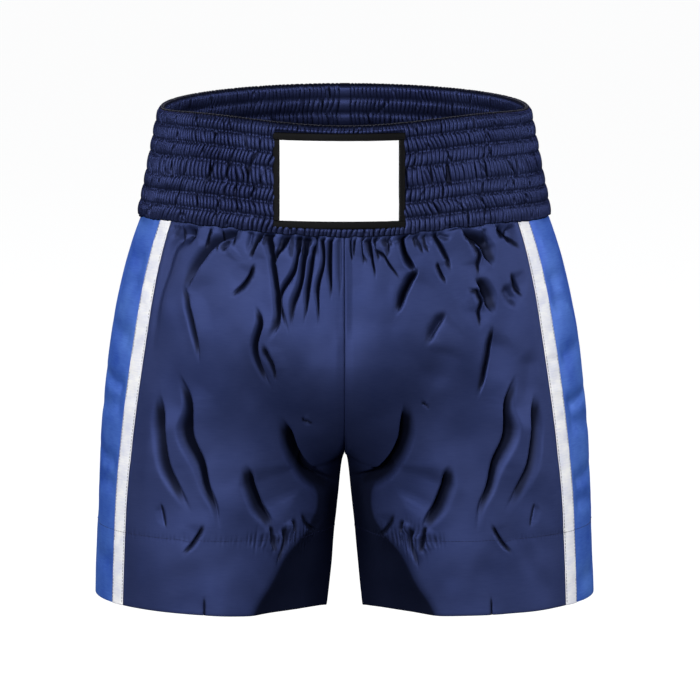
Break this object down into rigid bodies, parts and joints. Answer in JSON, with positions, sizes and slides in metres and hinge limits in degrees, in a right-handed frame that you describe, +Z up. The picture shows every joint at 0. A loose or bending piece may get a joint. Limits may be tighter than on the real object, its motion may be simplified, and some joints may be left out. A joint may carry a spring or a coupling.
{
  "type": "boxing shorts",
  "caption": "Satin boxing shorts with a tall ruched elastic waistband, contrasting side panels, white seam tapes, deep hems and a blank bordered front patch. Each leg swings at the groin.",
  "frame": {"origin": "centre of the waist opening, level with the rim at the sides", "axes": "+Z up out of the waist, +X towards the wearer's left, and the front with its patch faces -Y"},
  "size_m": [0.4242, 0.2501, 0.4355],
  "materials": {
    "waistband_satin": "dark navy ruched polyester satin",
    "navy_satin": "navy polyester satin",
    "royal_satin": "royal blue polyester satin",
    "tape_satin": "white satin tape",
    "patch_satin": "plain white satin",
    "border_satin": "black satin binding",
    "elastic": "woven white elastic",
    "navy_thread": "navy polyester thread",
    "grey_thread": "blue-grey polyester thread",
    "border_thread": "black polyester thread"
  },
  "bodies": {
    "waist_and_hips": {"waistband_cover": "waistband_satin", "waistband_stitching": "navy_thread", "patch_field": "patch_satin", "patch_border": "border_satin", "patch_stitching": "border_thread", "waist_seam_stitching": "navy_thread", "elastic_row_1": "elastic", "elastic_row_2": "elastic", "elastic_row_3": "elastic", "elastic_row_4": "elastic", "elastic_row_5": "elastic", "elastic_row_6": "elastic", "elastic_row_7": "elastic", "front_panel_hip_left": "navy_satin", "side_panel_hip_left": "royal_satin", "back_panel_hip_left": "navy_satin", "front_tape_hip_left": "tape_satin", "back_tape_hip_left": "tape_satin", "tape_stitching_hip_left": "grey_thread", "front_panel_hip_right": "navy_satin", "side_panel_hip_right": "royal_satin", "back_panel_hip_right": "navy_satin", "front_tape_hip_right": "tape_satin", "back_tape_hip_right": "tape_satin", "tape_stitching_hip_right": "grey_thread"},
    "left_leg": {"front_panel_leg_left": "navy_satin", "side_panel_leg_left": "royal_satin", "back_panel_leg_left": "navy_satin", "front_tape_leg_left": "tape_satin", "back_tape_leg_left": "tape_satin", "tape_stitching_leg_left": "grey_thread", "hem_stitching_left": "navy_thread"},
    "right_leg": {"front_panel_leg_right": "navy_satin", "side_panel_leg_right": "royal_satin", "back_panel_leg_right": "navy_satin", "front_tape_leg_right": "tape_satin", "back_tape_leg_right": "tape_satin", "tape_stitching_leg_right": "grey_thread", "hem_stitching_right": "navy_thread"}
  },
  "joints": [
    {"name": "left_leg_swing", "type": "hinge", "parent": "waist_and_hips", "child": "left_leg", "pos_m": [0.1, 0, -0.288], "axis": [-1, 0, 0], "range_deg": [-20, 35]},
    {"name": "right_leg_swing", "type": "hinge", "parent": "waist_and_hips", "child": "right_leg", "pos_m": [-0.1, 0, -0.288], "axis": [-1, 0, 0], "range_deg": [-20, 35]}
  ]
}
